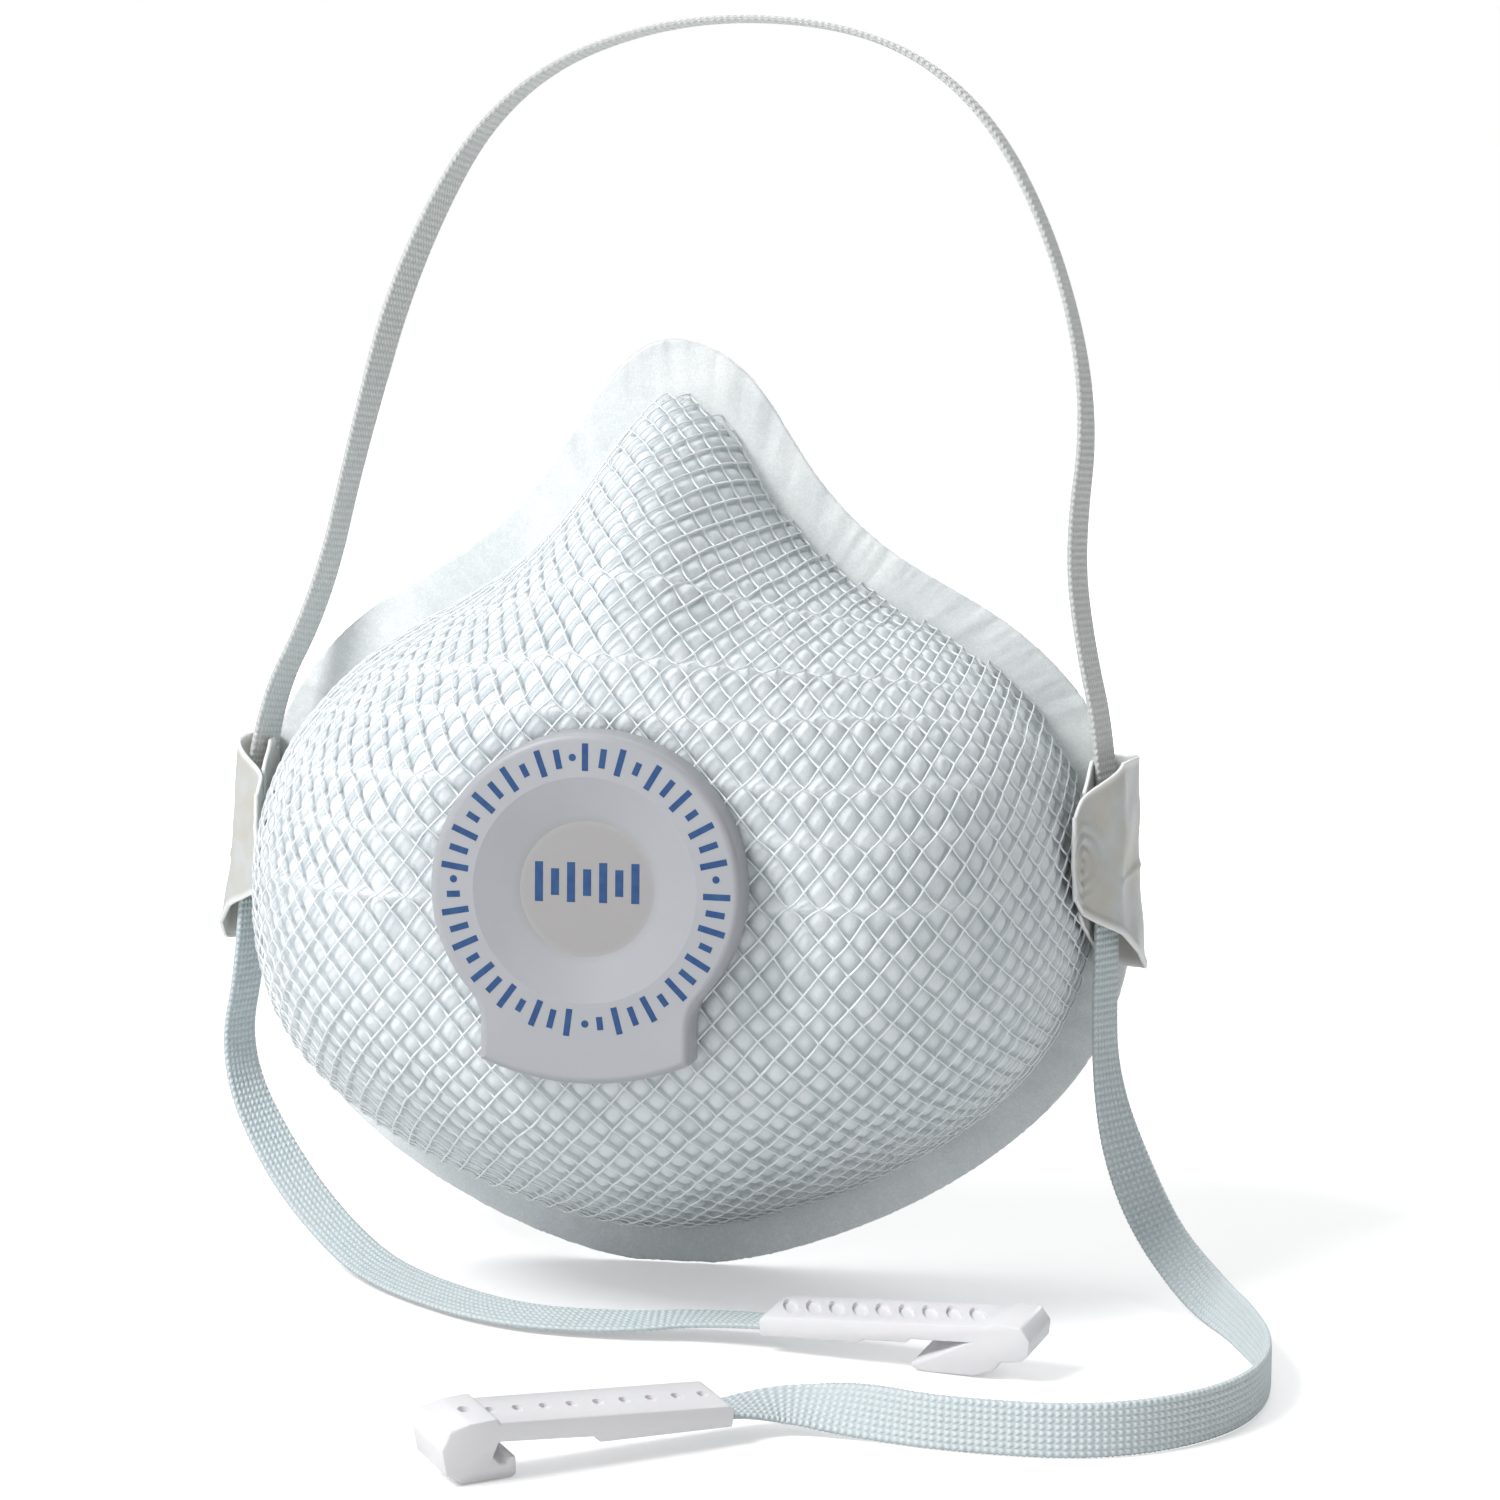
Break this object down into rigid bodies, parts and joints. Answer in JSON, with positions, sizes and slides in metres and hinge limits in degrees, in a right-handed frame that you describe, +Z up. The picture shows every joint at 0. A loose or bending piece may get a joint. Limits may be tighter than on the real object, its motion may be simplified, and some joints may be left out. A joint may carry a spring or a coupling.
{
  "type": "disposable dust mask",
  "caption": "Cup-shaped filtering face mask with an outer mesh, round exhalation valve, welded side tabs and an elastic strap that clips behind the neck.",
  "frame": {"origin": "on the surface under the middle of the mask, without its strap and clips", "axes": "+Z up, front of the mask facing -Y, X = 0 is its plane of symmetry"},
  "size_m": [0.1623, 0.1421, 0.1872],
  "materials": {
    "net": "soft white extruded mesh",
    "nonwoven": "white nonwoven",
    "filter": "white electret felt",
    "inner": "smooth white moulded nonwoven",
    "rim": "heat-sealed, slightly glossy fibres",
    "tab": "smooth folded nonwoven film",
    "valve_plastic": "satin lilac-grey",
    "seat_plastic": "satin off-white",
    "flap_silicone": "translucent silicone",
    "strap": "pale grey-blue knitted elastic",
    "clip_plastic": "satin, slightly translucent"
  },
  "bodies": {
    "mask": {"outer_net": "net", "cover_web": "nonwoven", "filter_layer": "filter", "inner_shell": "inner", "rim_flange": "rim", "strap_tab_left": "tab", "strap_tab_right": "tab", "valve_seat": "seat_plastic", "valve_backing_ring": "seat_plastic", "valve_cover": "valve_plastic", "strap_head_loop": "strap", "strap_neck_left": "strap", "strap_neck_right": "strap", "hook_clip": "clip_plastic", "catch_clip": "clip_plastic"},
    "flap": {"valve_flap": "flap_silicone"}
  },
  "joints": [
    {"name": "flap_lift", "type": "slide", "parent": "mask", "child": "flap", "axis": [0, -1, 0], "range_m": [0, 0.0012], "stiffness_N_per_m": 10}
  ]
}
